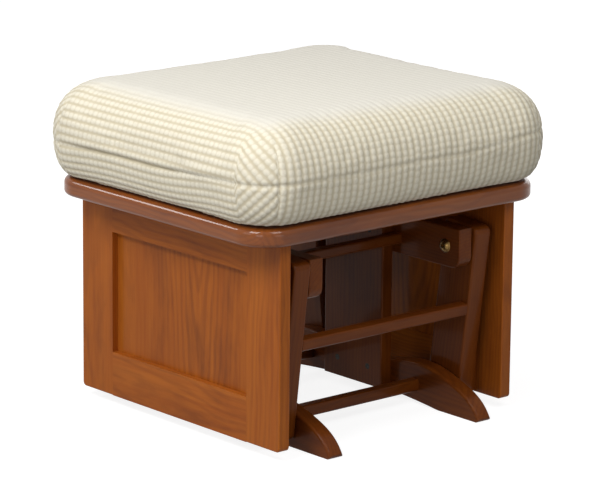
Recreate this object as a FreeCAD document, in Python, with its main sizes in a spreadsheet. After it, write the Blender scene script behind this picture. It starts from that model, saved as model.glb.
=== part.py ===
"""Glider ottoman: a padded foot rest that swings on four short arms.

Millimetres. +Z is up, the front of the ottoman faces -Y, and the origin is on the floor
under the middle of the base. The base and the seat are both symmetric, so most pieces
are drawn once, at the right or at the front, and mirrored.
"""
import FreeCAD, Part
import math
import os
import re

# Driving sizes: name, millimetres, what it is
SIZES = [
    ("base_inside", 234, "clear width between the two feet, and between the two beams"),
    ("board_thick", 22.5, "thickness of the feet and of the beams"),
    ("foot_past", 69, "length of foot past the upper pivot"),
    ("foot_pad", 77, "length of foot that stands on the floor at each end"),
    ("foot_arch", 9, "rise of the arch under the middle of the foot"),
    ("toe_nose", 5, "height of the blunt front of the toe"),
    ("toe_run", 13, "distance back from the tip to the point where the toe bends over"),
    ("toe_rise", 21, "height of that point"),
    ("instep_run", 52, "distance back from the tip to the middle of the instep"),
    ("instep_rise", 41.5, "height of the instep"),
    ("hump_back", 115, "distance back from the tip to the highest point of the foot"),
    ("hump_rise", 56, "height of that highest point"),
    ("saddle_rise", 43, "height of the foot at its middle"),
    ("foot_round", 3.5, "rounding of the foot's top edges"),
    ("beam_low", 197, "height of the underside of the beams"),
    ("beam_tall", 53, "height of the beam's section"),
    ("beam_past", 27, "length of beam past the upper pivot"),
    ("beam_nose", 15, "rounding of the beam's lower end corners"),
    ("wood_round", 2, "rounding of the sawn boards' long edges"),
    ("upright_thick", 17, "thickness of the centre uprights"),
    ("upright_wide", 114, "width of the centre uprights"),
    ("upright_low", 12, "height of the lower end of the uprights"),
    ("low_bar_tall", 16, "height of the lower stretchers"),
    ("low_bar_deep", 16, "depth of the lower stretchers"),
    ("low_bar_up", 18, "height of the underside of the lower stretchers"),
    ("low_bar_out", 113, "distance from the middle to the outer face of the lower stretchers"),
    ("cross_bar_tall", 14, "height of the cross bars between the beams"),
    ("cross_bar_deep", 15, "depth of the cross bars"),
    ("cross_bar_rise", 14, "height of the cross bars over the underside of the beams"),
    ("cross_bar_gap", 3, "gap between an upright's edge and the cross bar beside it"),
    ("pivot_rise", 27.5, "height of the upper pivots over the underside of the beams"),
    ("hang_half", 158, "distance from the middle to the upper pivots"),
    ("arm_slant", 23.5, "how much nearer the middle the lower pivots are"),
    ("arm_wide", 60, "width of the swing arms"),
    ("arm_thick", 27, "thickness of the swing arms"),
    ("arm_over", 28, "length of arm above its upper pivot"),
    ("arm_under", 24, "length of arm below its lower pivot"),
    ("arm_corner", 9, "rounding of the arm's end corners"),
    ("arm_round", 3, "rounding of the arm's long edges"),
    ("mid_bar_tall", 16, "height of the stretcher between two swing arms"),
    ("mid_bar_deep", 16, "depth of that stretcher"),
    ("mid_bar_drop", 84, "distance along the arm from the upper pivot to that stretcher"),
    ("mid_bar_inset", 1, "how far that stretcher lies behind the arm's outer edge"),
    ("bar_round", 3, "rounding of every stretcher's long edges"),
    ("dowel_wide", 8, "diameter of the stretchers' dowels"),
    ("dowel_half", 14, "depth of a dowel in each of the two pieces it joins"),
    ("bolt_wide", 8, "diameter of the pivot bolts"),
    ("bolt_past", 1.5, "length of the upper bolts past their nuts"),
    ("thin_bolt_past", 0.5, "length of the lower bolts past their thin nuts"),
    ("dome_wide", 19, "diameter of the domed bolt head"),
    ("dome_tall", 5.5, "height of the domed bolt head"),
    ("socket_flats", 5, "width of the six-sided socket in that head"),
    ("socket_deep", 3, "depth of that socket"),
    ("washer_wide", 18, "diameter of the washers"),
    ("washer_thick", 1.5, "thickness of the washers"),
    ("nut_flats", 13, "width of the nuts over their flats"),
    ("nut_tall", 7, "height of the upper lock nuts"),
    ("thin_nut_tall", 5, "height of the lower, thin nuts"),
    ("side_play", 0.3, "gap each side between an arm and its washers"),
    ("hole_play", 0.1, "gap all round a bolt in a plain hole"),
    ("run_play", 0.05, "gap all round a bolt in its bushing"),
    ("bush_wide", 14, "outer diameter of the bushings"),
    ("open_play", 2.2, "gap all round the rear lower bolts, where the linkage is open"),
    ("open_bush_wide", 18, "outer diameter of the rear lower bushings"),
    ("well_wide", 26, "diameter of the sinking for the lower nut, in the arm"),
    ("well_deep", 8, "depth of that sinking"),
    ("low_head_wide", 16, "diameter of the lower bolts' flat heads"),
    ("low_head_tall", 4, "height of the lower bolts' flat heads"),
    ("head_sink", 0.3, "how far that head lies below the face of its block"),
    ("block_thick", 12.9, "thickness of the pivot blocks on the panels"),
    ("block_wide", 36, "width of the pivot blocks"),
    ("block_above", 32, "height of the pivot block over its bolt"),
    ("block_below", 22, "height of the pivot block under its bolt"),
    ("panel_thick", 17, "thickness of the side panels' frames"),
    ("panel_past", 65.5, "side panel past the lower pivot"),
    ("panel_low", 14, "height of the side panels' lower edge"),
    ("pivot_in_panel", 24, "height of the lower pivots over the panel's lower edge"),
    ("seat_clear", 31, "gap between the beams and the top frame"),
    ("stile_wide", 64, "width of the panels' upright stiles"),
    ("low_rail_tall", 59, "height of the panels' lower rails"),
    ("high_rail_tall", 46, "height of the panels' upper rails"),
    ("field_recess", 9, "how far the field lies behind the panel's outer face"),
    ("field_thick", 6, "thickness of the field"),
    ("groove_deep", 8, "depth of the groove that holds the field"),
    ("groove_play", 0.25, "gap all round the field in its groove"),
    ("toe_corner", 6, "rounding of the panels' lower corners"),
    ("panel_round", 1.5, "rounding of the panels' outer edges"),
    ("cleat_thick", 12, "thickness of the cleats under the top frame"),
    ("cleat_tall", 20, "height of those cleats"),
    ("cleat_back", 50, "distance from the panels' front edges to the ends of those cleats"),
    ("frame_past_side", 43, "overhang of the top frame past the panels' outer faces"),
    ("frame_past_front", 14, "overhang of the top frame past the panels' front edges"),
    ("frame_thick", 24, "thickness of the top frame"),
    ("frame_corner", 48, "plan radius of the top frame's corners"),
    ("frame_rail", 80, "width of the top frame's rails"),
    ("frame_nose", 9, "rounding of the top frame's upper edge"),
    ("frame_belly", 6, "rounding of the top frame's lower edge"),
    ("deck_thick", 6, "thickness of the plywood deck"),
    ("deck_ledge", 10, "width of the ledge under the deck"),
    ("deck_play", 0.5, "gap round the deck"),
    ("screw_wide", 4, "diameter of the wood screws"),
    ("screw_head", 8, "diameter of the wood screws' heads"),
    ("screw_head_tall", 2.5, "height of the wood screws' heads"),
    ("upright_screw", 32, "length of the screws through the uprights"),
    ("upright_screw_half", 30, "distance from the middle to those screws"),
    ("upright_screw_up", 37, "height of the lower row of those screws"),
    ("block_screw", 25, "length of the screws through the pivot blocks"),
    ("block_screw_half", 9, "distance of those screws to each side of the bolt"),
    ("block_screw_up", 20, "height of those screws over the bolt"),
    ("cleat_screw", 24, "length of the screws from a cleat into its panel"),
    ("cleat_screw_in", 40, "distance from a cleat's end to the outer ones"),
    ("frame_screw", 34, "length of the screws from a cleat up into the top frame"),
    ("frame_screw_half", 60, "distance from the middle to those screws"),
    ("deck_screw", 15, "length of the screws that hold the deck"),
    ("cushion_past", 16, "how far the cushion's seam stands out past the top frame"),
    ("cushion_tall", 127, "height of the cushion at its crown"),
    ("cushion_seam", 50, "height of the seam over the cushion's base"),
    ("cushion_corner", 62, "plan radius of the cushion's corners at the seam"),
    ("cushion_pull", 3, "how far each side is drawn in between its corners"),
    ("cushion_crown_in", 75, "how far in from the seam's outline the flat of the crown starts"),
    ("cushion_fullness", 2.5, "fullness of the cushion's shoulder, where 2 would be round"),
    ("cushion_tuck", 22, "how far the base of the cushion is drawn in under the seam"),
    ("cushion_lift", 0.3, "gap between the cushion and the top frame"),
]
SIZE = {name: value for name, value, words in SIZES}

doc = FreeCAD.newDocument("glider_ottoman")
sheet = doc.addObject("Spreadsheet::Sheet", "sizes")
for row, (name, value, words) in enumerate(SIZES, start=1):
    sheet.set("A%d" % row, words)
    sheet.set("B%d" % row, str(value))
    sheet.setAlias("B%d" % row, name)
doc.recompute()

# Places worked out from the sizes, each a formula of the sheet's names
FOOT_IN = "(base_inside / 2)"
FOOT_OUT = "(base_inside / 2 + board_thick)"
ARM_IN = "(base_inside / 2 + board_thick + washer_thick + side_play)"
ARM_OUT = f"({ARM_IN} + arm_thick)"
NUT_IN = f"({ARM_OUT} + side_play + washer_thick)"
PANEL_IN = f"({NUT_IN} + block_thick)"
PANEL_OUT = f"({PANEL_IN} + panel_thick)"
BEAM_TOP = "(beam_low + beam_tall)"
BEAM_REACH = "(hang_half + beam_past)"
HANG_UP = "(beam_low + pivot_rise)"
LOW_HALF = "(hang_half - arm_slant)"
PANEL_HALF = f"({LOW_HALF} + panel_past)"
LOW_UP = "(panel_low + pivot_in_panel)"
ARM_FALL = f"({HANG_UP} - {LOW_UP})"
ARM_SPAN = f"sqrt(arm_slant ^ 2 + {ARM_FALL} ^ 2)"
ARM_TILT = f"atan(arm_slant / {ARM_FALL})"
SEAT_UP = f"({BEAM_TOP} + seat_clear)"
FRAME_TOP = f"({SEAT_UP} + frame_thick)"
FRAME_X = f"({PANEL_OUT} + frame_past_side)"
FRAME_Y = f"({PANEL_HALF} + frame_past_front)"
OPEN_X = f"({FRAME_X} - frame_rail)"
OPEN_Y = f"({FRAME_Y} - frame_rail)"
STILE_IN = f"({PANEL_HALF} - stile_wide)"
CLEAT_HALF = f"({PANEL_HALF} - cleat_back)"
FIELD_LOW = "(panel_low + low_rail_tall)"
FIELD_HIGH = f"({SEAT_UP} - high_rail_tall)"
GROOVE_OUT = f"({PANEL_OUT} - field_recess + groove_play)"
GROOVE_IN = f"({PANEL_OUT} - field_recess - field_thick - groove_play)"
WELL_END = f"({ARM_IN} + well_deep)"

NODES = []


def size(name):
    """The number that the sheet holds for one size."""
    return float(getattr(sheet, name))


def formula(text):
    """The same formula with every size's name pointed at the sheet."""
    return re.sub(r"[a-z_]+", lambda word: "sizes." + word.group() if word.group() in SIZE
                  else word.group(), text)


def bind(obj, prop, text):
    obj.setExpression(prop, formula(text))


def place(obj, x, y, z, axis=None, angle=None):
    """Put an object at x, y, z, after a fixed or a worked-out turn about an axis."""
    turn = FreeCAD.Rotation()
    if axis is not None:
        start = angle if isinstance(angle, (int, float)) else 1
        turn = FreeCAD.Rotation(FreeCAD.Vector(*axis), start)
    obj.Placement = FreeCAD.Placement(FreeCAD.Vector(), turn)
    bind(obj, "Placement.Base.x", x)
    bind(obj, "Placement.Base.y", y)
    bind(obj, "Placement.Base.z", z)
    if isinstance(angle, str):
        bind(obj, "Placement.Rotation.Angle", angle)
    return obj


def block(name, low, high):
    """A box from its low corner to its high corner, each three formulas."""
    box = doc.addObject("Part::Box", name)
    for prop, a, b in zip(("Length", "Width", "Height"), low, high):
        bind(box, prop, f"({b}) - ({a})")
    return place(box, *low)


def rod(name, start, radius, length, way="+x"):
    """A cylinder from a point, along +x, -x or +z."""
    bar = doc.addObject("Part::Cylinder", name)
    bind(bar, "Radius", radius)
    bind(bar, "Height", length)
    return place(bar, *start, *TURNS[way])


TURNS = {"+x": ((0, 1, 0), 90), "-x": ((0, 1, 0), -90), "+z": ((0, 0, 1), 0),
         "-z": ((1, 0, 0), 180)}


def cut(name, base, *tools):
    """A piece with the tools' shapes taken away."""
    result = doc.addObject("Part::Cut", name)
    result.Base = base
    result.Tool = tools[0] if len(tools) == 1 else group(name + "_tools", *tools)
    return result


def fuse(name, *parts):
    result = doc.addObject("Part::MultiFuse", name)
    result.Shapes = list(parts)
    return result


def common(name, *parts):
    result = doc.addObject("Part::MultiCommon", name)
    result.Shapes = list(parts)
    return result


def group(name, *parts):
    """Several separate solids kept as one object."""
    result = doc.addObject("Part::Compound", name)
    result.Links = list(parts)
    return result


def mirror(name, source, axis):
    """The same piece on the other side of the middle plane square to x or y."""
    result = doc.addObject("Part::Mirroring", name)
    result.Source = source
    result.Normal = FreeCAD.Vector(1, 0, 0) if axis == "x" else FreeCAD.Vector(0, 1, 0)
    return result


def four(name, front_right):
    """One piece at the front right, mirrored to all four corners, in one object."""
    front_left = mirror(name + "_left", front_right, "x")
    front = group(name + "_front", front_right, front_left)
    return group(name, front, mirror(name + "_rear", front, "y"))


def soften(name, source, radius, wanted):
    """Round the edges of a piece that a test picks."""
    doc.recompute()
    result = doc.addObject("Part::Fillet", name)
    result.Base = source
    result.Edges = [(number, radius, radius)
                    for number, edge in enumerate(source.Shape.Edges, start=1) if wanted(edge)]
    doc.recompute()
    return result


def runs_along(edge, axis):
    """True for a straight edge that runs along one axis."""
    if not isinstance(edge.Curve, Part.Line):
        return False
    tangent = edge.tangentAt(edge.FirstParameter)
    return abs(getattr(tangent, axis)) > 0.999


def node(obj, label):
    """Name a finished piece and keep it for the export."""
    obj.Label = label
    NODES.append(obj)
    return obj


def pair(source, name, axis, ends=("right", "left")):
    """A piece and its mirror image, each a node of its own."""
    node(source, f"{name}_{ends[0]}")
    return node(mirror(f"{name}_mirrored", source, axis), f"{name}_{ends[1]}")


def screw(name, start, way, length):
    """A countersunk wood screw, its head flush with the point where it starts."""
    head = doc.addObject("Part::Cone", name + "_head")
    bind(head, "Radius1", "screw_head / 2")
    bind(head, "Radius2", "screw_wide / 2")
    bind(head, "Height", "screw_head_tall")
    place(head, *start, *TURNS[way])
    return fuse(name, head, rod(name + "_shank", start, "screw_wide / 2", length, way))


def ring(name, start, outer, inner, length):
    """A flat or long ring about the x direction."""
    return cut(name, rod(name + "_disc", start, outer, length),
               rod(name + "_bore", start, inner, length))


def hex_nut(name, start, length):
    """A six-sided nut about the x direction, with the bolt's hole through it."""
    body = doc.addObject("Part::Prism", name + "_body")
    body.Polygon = 6
    bind(body, "Circumradius", "nut_flats / sqrt(3)")
    bind(body, "Height", length)
    place(body, *start, *TURNS["+x"])
    return cut(name, body, rod(name + "_bore", start, "bolt_wide / 2", length))


# Pivot bolts and what turns on them

HANG = ("-hang_half", HANG_UP)
LOW = (f"-{LOW_HALF}", LOW_UP)

dome = doc.addObject("Part::Sphere", "bolt_dome")
DOME_RADIUS = "((dome_wide ^ 2 / 4 + dome_tall ^ 2) / (2 * dome_tall))"
bind(dome, "Radius", DOME_RADIUS)
bind(dome, "Angle1", f"asin(({DOME_RADIUS} - dome_tall) / {DOME_RADIUS})")
place(dome, f"{FOOT_IN} + {DOME_RADIUS} - dome_tall", *HANG, *TURNS["-x"])
bolt_end = f"({NUT_IN} + nut_tall + bolt_past)"
shank = rod("bolt_shank", (FOOT_IN, *HANG), "bolt_wide / 2", f"{bolt_end} - {FOOT_IN}")
socket = doc.addObject("Part::Prism", "bolt_socket")
socket.Polygon = 6
bind(socket, "Circumradius", "socket_flats / sqrt(3)")
bind(socket, "Height", "socket_deep")
place(socket, f"{FOOT_IN} - dome_tall", *HANG, *TURNS["+x"])
hang_bolt = cut("hang_bolt", fuse("bolt_solid", dome, shank), socket)
node(four("hang_bolts", hang_bolt), "upper_pivot_bolts")

inner_washer = ring("inner_washer", (FOOT_OUT, *HANG), "washer_wide / 2",
                    "bolt_wide / 2 + hole_play", "washer_thick")
node(four("inner_washers", inner_washer), "upper_inner_washers")
outer_washer = ring("outer_washer", (f"{ARM_OUT} + side_play", *HANG), "washer_wide / 2",
                    "bolt_wide / 2 + hole_play", "washer_thick")
node(four("outer_washers", outer_washer), "upper_outer_washers")
node(four("lock_nuts", hex_nut("lock_nut", (NUT_IN, *HANG), "nut_tall")), "upper_lock_nuts")

# Feet: one arched board each side, standing on a pad at each end


def foot_outline():
    """The foot's side view: a flat pad, an arch, and a top that runs up over two humps."""
    reach = size("hang_half") + size("foot_past")
    top = [(-reach, size("toe_nose")),
           (-reach + size("toe_run"), size("toe_rise")),
           (-reach + size("instep_run"), size("instep_rise")),
           (-reach + size("hump_back"), size("hump_rise")),
           (0, size("saddle_rise"))]
    top += [(-y, z) for y, z in reversed(top[:-1])]
    point = lambda y, z: FreeCAD.Vector(0, y, z)
    crest = Part.BSplineCurve()
    crest.interpolate([point(y, z) for y, z in top])
    pad = reach - size("foot_pad")
    nose = size("toe_nose")
    corner = nose * (1 - math.sqrt(0.5))
    edges = [crest.toShape(),
             Part.Arc(point(reach, nose), point(reach - corner, corner),
                      point(reach - nose, 0)).toShape(),
             Part.LineSegment(point(reach - nose, 0), point(pad, 0)).toShape(),
             Part.Arc(point(pad, 0), point(0, size("foot_arch")), point(-pad, 0)).toShape(),
             Part.LineSegment(point(-pad, 0), point(-reach + nose, 0)).toShape(),
             Part.Arc(point(-reach + nose, 0), point(-reach + corner, corner),
                      point(-reach, nose)).toShape()]
    return Part.Wire(edges)


outline = doc.addObject("Part::Feature", "foot_outline")
outline.Shape = foot_outline()
place(outline, FOOT_IN, "0", "0")
foot_blank = doc.addObject("Part::Extrusion", "foot_blank")
foot_blank.Base = outline
foot_blank.DirMode = "Custom"
foot_blank.Dir = FreeCAD.Vector(1, 0, 0)
bind(foot_blank, "LengthFwd", "board_thick")
foot_blank.Solid = True
foot_soft = soften("foot_soft", foot_blank, size("foot_round"),
                   lambda edge: isinstance(edge.Curve, Part.BSplineCurve))

# Beams and uprights: the boards that carry the upper pivots

beam_blank = block("beam_blank", (FOOT_IN, f"-{BEAM_REACH}", "beam_low"),
                   (FOOT_OUT, BEAM_REACH, BEAM_TOP))
beam_nosed = soften("beam_nosed", beam_blank, size("beam_nose"),
                    lambda edge: runs_along(edge, "x") and edge.CenterOfMass.z
                    < size("beam_low") + size("beam_tall") / 2)
beam_soft = soften("beam_soft", beam_nosed, size("wood_round"), lambda edge: runs_along(edge, "y"))

upright_blank = block(
    "upright_blank", (f"{FOOT_IN} - upright_thick", "-upright_wide / 2", "upright_low"),
    (FOOT_IN, "upright_wide / 2", BEAM_TOP))
upright_soft = soften("upright_soft", upright_blank, size("wood_round"),
                      lambda edge: runs_along(edge, "z")
                      and edge.CenterOfMass.x < size("base_inside") / 2 - 1)


def mirrored_pair(name, front, axis="y"):
    """A piece and its mirror image kept in one object."""
    return group(name, front, mirror(name + "_other", front, axis))


screw_start = f"{FOOT_IN} - upright_thick"
low_screw = screw("upright_low_screw", (screw_start, "-upright_screw_half", "upright_screw_up"),
                  "+x", "upright_screw")
high_screw = screw("upright_high_screw", (screw_start, "-upright_screw_half", HANG_UP),
                   "+x", "upright_screw")
right_screws = mirrored_pair("right_screws", group("right_front_screws", low_screw, high_screw))
node(mirrored_pair("upright_screws", right_screws, "x"), "upright_screws")

# Stretchers: lower ones between the feet, cross bars between the beams


def dowel(name, middle, *place_yz):
    """A dowel that reaches the same depth into the two pieces it joins."""
    return rod(name, (f"{middle} - dowel_half", *place_yz), "dowel_wide / 2", "2 * dowel_half")


def stretcher(name, low, high):
    """A square bar from side to side with its long edges rounded."""
    bar = block(name + "_blank", low, high)
    return soften(name + "_soft", bar, size("bar_round"), lambda edge: runs_along(edge, "x"))


low_dowel = dowel("low_dowel", FOOT_IN, "-low_bar_out + low_bar_deep / 2",
                  "low_bar_up + low_bar_tall / 2")
low_dowels = node(four("low_dowels", low_dowel), "lower_stretcher_dowels")
low_bar = stretcher("low_bar", (f"-{FOOT_IN}", "-low_bar_out", "low_bar_up"),
                    (FOOT_IN, "-low_bar_out + low_bar_deep", "low_bar_up + low_bar_tall"))
pair(cut("low_bar", low_bar, low_dowels), "lower_stretcher", "y", ("front", "rear"))

cross_y = "(-upright_wide / 2 - cross_bar_gap - cross_bar_deep)"
cross_z = "(beam_low + cross_bar_rise)"
cross_dowel = dowel("cross_dowel", FOOT_IN, f"{cross_y} + cross_bar_deep / 2",
                    f"{cross_z} + cross_bar_tall / 2")
cross_dowels = node(four("cross_dowels", cross_dowel), "cross_bar_dowels")
cross_bar = stretcher("cross_bar", (f"-{FOOT_IN}", cross_y, cross_z),
                      (FOOT_IN, f"{cross_y} + cross_bar_deep", f"{cross_z} + cross_bar_tall"))
pair(cut("cross_bar", cross_bar, cross_dowels), "cross_bar", "y", ("front", "rear"))

pair(cut("foot", foot_soft, low_dowels, right_screws), "foot", "x")
hang_hole = rod("hang_hole", (FOOT_IN, *HANG), "bolt_wide / 2 + hole_play", "board_thick")
hang_holes = mirrored_pair("hang_holes", hang_hole)
pair(cut("beam", beam_soft, hang_holes, cross_dowels, right_screws), "beam", "x")
pair(cut("upright", upright_soft, right_screws), "upright", "x")

# Swing frames: two arms and a stretcher, drawn upright about their upper pivot, then tilted


def tilt(obj):
    """Hang a piece drawn about the upper pivot at the front, at the arms' slant."""
    return place(obj, "0", "-hang_half", HANG_UP, (1, 0, 0), ARM_TILT)


arm_blank = block("arm_blank", (ARM_IN, "-arm_wide / 2", f"-{ARM_SPAN} - arm_under"),
                  (ARM_OUT, "arm_wide / 2", "arm_over"))
arm_ended = soften("arm_ended", arm_blank, size("arm_corner"), lambda edge: runs_along(edge, "x"))
arm_soft = soften("arm_soft", arm_ended, size("arm_round"), lambda edge: runs_along(edge, "z"))
upper_seat = rod("upper_seat", (ARM_IN, "0", "0"), "bush_wide / 2", "arm_thick")
well = rod("well", (ARM_IN, "0", f"-{ARM_SPAN}"), "well_wide / 2", "well_deep")
mid_y = "(-arm_wide / 2 + mid_bar_inset)"
mid_z = "(-mid_bar_drop - mid_bar_tall / 2)"
mid_dowel = dowel("mid_dowel", ARM_IN, f"{mid_y} + mid_bar_deep / 2",
                  f"{mid_z} + mid_bar_tall / 2")
mid_dowels = mirrored_pair("mid_dowels", mid_dowel, "x")
mid_bar = stretcher("mid_bar", (f"-{ARM_IN}", mid_y, mid_z),
                    (ARM_IN, f"{mid_y} + mid_bar_deep", f"{mid_z} + mid_bar_tall"))
mid_bar_drilled = cut("mid_bar_drilled", mid_bar, mid_dowels)
upper_bush = ring("upper_bush", (ARM_IN, "0", "0"), "bush_wide / 2",
                  "bolt_wide / 2 + run_play", "arm_thick")
upper_bushes = mirrored_pair("upper_bushes", upper_bush, "x")

for end, bush_size, play in (("front", "bush_wide", "run_play"),
                             ("rear", "open_bush_wide", "open_play")):
    seat_start = (WELL_END, "0", f"-{ARM_SPAN}")
    seat_depth = "arm_thick - well_deep"
    lower_seat = rod(f"{end}_lower_seat", seat_start, f"{bush_size} / 2", seat_depth)
    lower_bush = ring(f"{end}_lower_bush", seat_start, f"{bush_size} / 2",
                      f"bolt_wide / 2 + {play}", seat_depth)
    arm = cut(f"{end}_arm", arm_soft, upper_seat, well, lower_seat, mid_dowel)
    pieces = {
        "arm_right": arm,
        "arm_left": mirror(f"{end}_arm_left", arm, "x"),
        "stretcher": mid_bar_drilled,
        "dowels": mid_dowels,
        "upper_bushings": upper_bushes,
        "lower_bushings": mirrored_pair(f"{end}_lower_bushes", lower_bush, "x"),
    }
    for label, piece in pieces.items():
        hung = tilt(group(f"{end}_{label}_hung", piece))
        if end == "rear":
            hung = mirror(f"{end}_{label}_turned", hung, "y")
        node(hung, f"{end}_swing_{label}")

# Lower pivots: blocks on the side panels, and bolts that the swing arms carry

bolt_bearing = f"({PANEL_IN} - head_sink - low_head_tall)"
low_end = f"({WELL_END} - side_play - washer_thick - thin_nut_tall)"
low_head = rod("low_head", (bolt_bearing, *LOW), "low_head_wide / 2", "low_head_tall")
low_shank = rod("low_shank", (f"{low_end} - thin_bolt_past", *LOW), "bolt_wide / 2",
                f"{bolt_bearing} - {low_end} + thin_bolt_past")
node(four("low_bolts", fuse("low_bolt", low_head, low_shank)), "lower_pivot_bolts")
node(four("thin_nuts", hex_nut("thin_nut", (low_end, *LOW), "thin_nut_tall")), "lower_thin_nuts")
well_washer = ring("well_washer", (f"{low_end} + thin_nut_tall", *LOW), "washer_wide / 2",
                   "bolt_wide / 2 + hole_play", "washer_thick")
node(four("well_washers", well_washer), "lower_inner_washers")
block_washer = ring("block_washer", (f"{ARM_OUT} + side_play", *LOW), "washer_wide / 2",
                    "bolt_wide / 2 + hole_play", "washer_thick")
node(four("block_washers", block_washer), "lower_outer_washers")

pivot_blank = block("pivot_blank", (NUT_IN, f"-{LOW_HALF} - block_wide / 2",
                                    f"{LOW_UP} - block_below"),
                    (PANEL_IN, f"-{LOW_HALF} + block_wide / 2", f"{LOW_UP} + block_above"))
pivot_soft = soften("pivot_soft", pivot_blank, size("wood_round"),
                    lambda edge: runs_along(edge, "x"))
block_hole = rod("block_hole", (NUT_IN, *LOW), "bolt_wide / 2 + hole_play", "block_thick")
block_sink = rod("block_sink", (bolt_bearing, *LOW), "low_head_wide / 2 + head_sink",
                 "low_head_tall + head_sink")
block_screws = [screw(f"block_screw_{mark}",
                      (NUT_IN, f"-{LOW_HALF} {sign} block_screw_half",
                       f"{LOW_UP} + block_screw_up"), "+x", "block_screw")
                for mark, sign in (("outer", "-"), ("inner", "+"))]
block_screw_pair = group("block_screw_pair", *block_screws)
node(four("block_screws", block_screw_pair), "pivot_block_screws")
pivot_block = cut("pivot_block", pivot_soft, block_hole, block_sink, block_screw_pair)
pair(mirrored_pair("pivot_blocks", pivot_block), "pivot_blocks", "x")

# Side panels: two stiles and two rails round a thin field held in their grooves

panel_screws = mirrored_pair("panel_block_screws", block_screw_pair)
cleat_screws = [screw(f"cleat_screw_{mark}",
                      (f"{PANEL_IN} - cleat_thick", y, f"{SEAT_UP} - cleat_tall / 2"),
                      "+x", "cleat_screw")
                for mark, y in (("front", f"-{CLEAT_HALF} + cleat_screw_in"), ("middle", "0"),
                                ("rear", f"{CLEAT_HALF} - cleat_screw_in"))]
right_cleat_screws = group("right_cleat_screws", *cleat_screws)
node(mirrored_pair("cleat_screws", right_cleat_screws, "x"), "cleat_screws")

stile_blank = block("stile_blank", (PANEL_IN, f"-{PANEL_HALF}", "panel_low"),
                    (PANEL_OUT, f"-{STILE_IN}", SEAT_UP))
stile_middle = -size("hang_half") + size("arm_slant") - size("panel_past") + size("stile_wide") / 2
stile_toed = soften("stile_toed", stile_blank, size("toe_corner"),
                    lambda edge: runs_along(edge, "x") and edge.CenterOfMass.y < stile_middle
                    and edge.CenterOfMass.z < size("panel_low") + 1)
stile_soft = soften("stile_soft", stile_toed, size("panel_round"),
                    lambda edge: runs_along(edge, "z") and edge.CenterOfMass.y < stile_middle)
stile_groove = block("stile_groove", (GROOVE_IN, f"-{STILE_IN} - groove_deep", "panel_low"),
                     (GROOVE_OUT, f"-{STILE_IN}", SEAT_UP))
stile = cut("stile", stile_soft, stile_groove, panel_screws)
stile_rear = mirror("stile_rear", stile, "y")
pair(stile, "panel_front_stile", "x")
pair(stile_rear, "panel_rear_stile", "x")


def panel_rail(name, low, high, groove_low, groove_high, *tools):
    """A rail between the stiles, with stub tenons, and a groove along one edge."""
    bar = block(name + "_bar", (PANEL_IN, f"-{STILE_IN}", low), (PANEL_OUT, STILE_IN, high))
    tenons = block(name + "_tenons", (GROOVE_IN, f"-{STILE_IN} - groove_deep", low),
                   (GROOVE_OUT, f"{STILE_IN} + groove_deep", high))
    groove = block(name + "_groove", (GROOVE_IN, f"-{STILE_IN} - groove_deep", groove_low),
                   (GROOVE_OUT, f"{STILE_IN} + groove_deep", groove_high))
    return cut(name, fuse(name + "_body", bar, tenons), groove, *tools)


pair(panel_rail("low_rail", "panel_low", FIELD_LOW, f"{FIELD_LOW} - groove_deep", FIELD_LOW,
                panel_screws), "panel_lower_rail", "x")
pair(panel_rail("high_rail", FIELD_HIGH, SEAT_UP, FIELD_HIGH, f"{FIELD_HIGH} + groove_deep",
                right_cleat_screws), "panel_upper_rail", "x")
field_y = f"({STILE_IN} + groove_deep - groove_play)"
field = block("field", (f"{PANEL_OUT} - field_recess - field_thick", f"-{field_y}",
                        f"{FIELD_LOW} - groove_deep + groove_play"),
              (f"{PANEL_OUT} - field_recess", field_y,
               f"{FIELD_HIGH} + groove_deep - groove_play"))
pair(field, "panel_field", "x")

# Top frame: four mitred rails with round corners, on a cleat along each panel

cleat_blank = block("cleat_blank",
                    (f"{PANEL_IN} - cleat_thick", f"-{CLEAT_HALF}", f"{SEAT_UP} - cleat_tall"),
                    (PANEL_IN, CLEAT_HALF, SEAT_UP))
frame_screw = screw("frame_screw", (f"{PANEL_IN} - cleat_thick / 2", "-frame_screw_half",
                                    f"{SEAT_UP} - cleat_tall"), "+z", "frame_screw")
right_frame_screws = mirrored_pair("right_frame_screws", frame_screw)
node(mirrored_pair("frame_screws", right_frame_screws, "x"), "frame_screws")
pair(cut("cleat", cleat_blank, right_cleat_screws, right_frame_screws), "cleat", "x")

frame_blank = block("frame_blank", (f"-{FRAME_X}", f"-{FRAME_Y}", SEAT_UP),
                    (FRAME_X, FRAME_Y, FRAME_TOP))
frame_plan = soften("frame_plan", frame_blank, size("frame_corner"),
                    lambda edge: runs_along(edge, "z"))
frame_low = frame_plan.Shape.BoundBox.ZMin
frame_belly = soften("frame_belly", frame_plan, size("frame_belly"),
                     lambda edge: edge.CenterOfMass.z < frame_low + 1)
frame_nose = soften("frame_nose", frame_belly, size("frame_nose"),
                    lambda edge: edge.CenterOfMass.z > frame_low + size("frame_thick") - 1)
opening = block("frame_opening", (f"-{OPEN_X}", f"-{OPEN_Y}", SEAT_UP), (OPEN_X, OPEN_Y, FRAME_TOP))
ledge_cut = block("ledge_cut", (f"-{OPEN_X} - deck_ledge", f"-{OPEN_Y} - deck_ledge",
                                f"{FRAME_TOP} - deck_thick"),
                  (f"{OPEN_X} + deck_ledge", f"{OPEN_Y} + deck_ledge", FRAME_TOP))
deck_x = f"({OPEN_X} + deck_ledge - deck_play)"
deck_y = f"({OPEN_Y} + deck_ledge - deck_play)"
corner_screw = screw("deck_corner_screw", (f"{OPEN_X} + deck_ledge / 2", f"-{OPEN_Y} / 2",
                                           FRAME_TOP), "-z", "deck_screw")
edge_screw = screw("deck_edge_screw", (f"{OPEN_X} / 2", f"-{OPEN_Y} - deck_ledge / 2",
                                       FRAME_TOP), "-z", "deck_screw")
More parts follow.
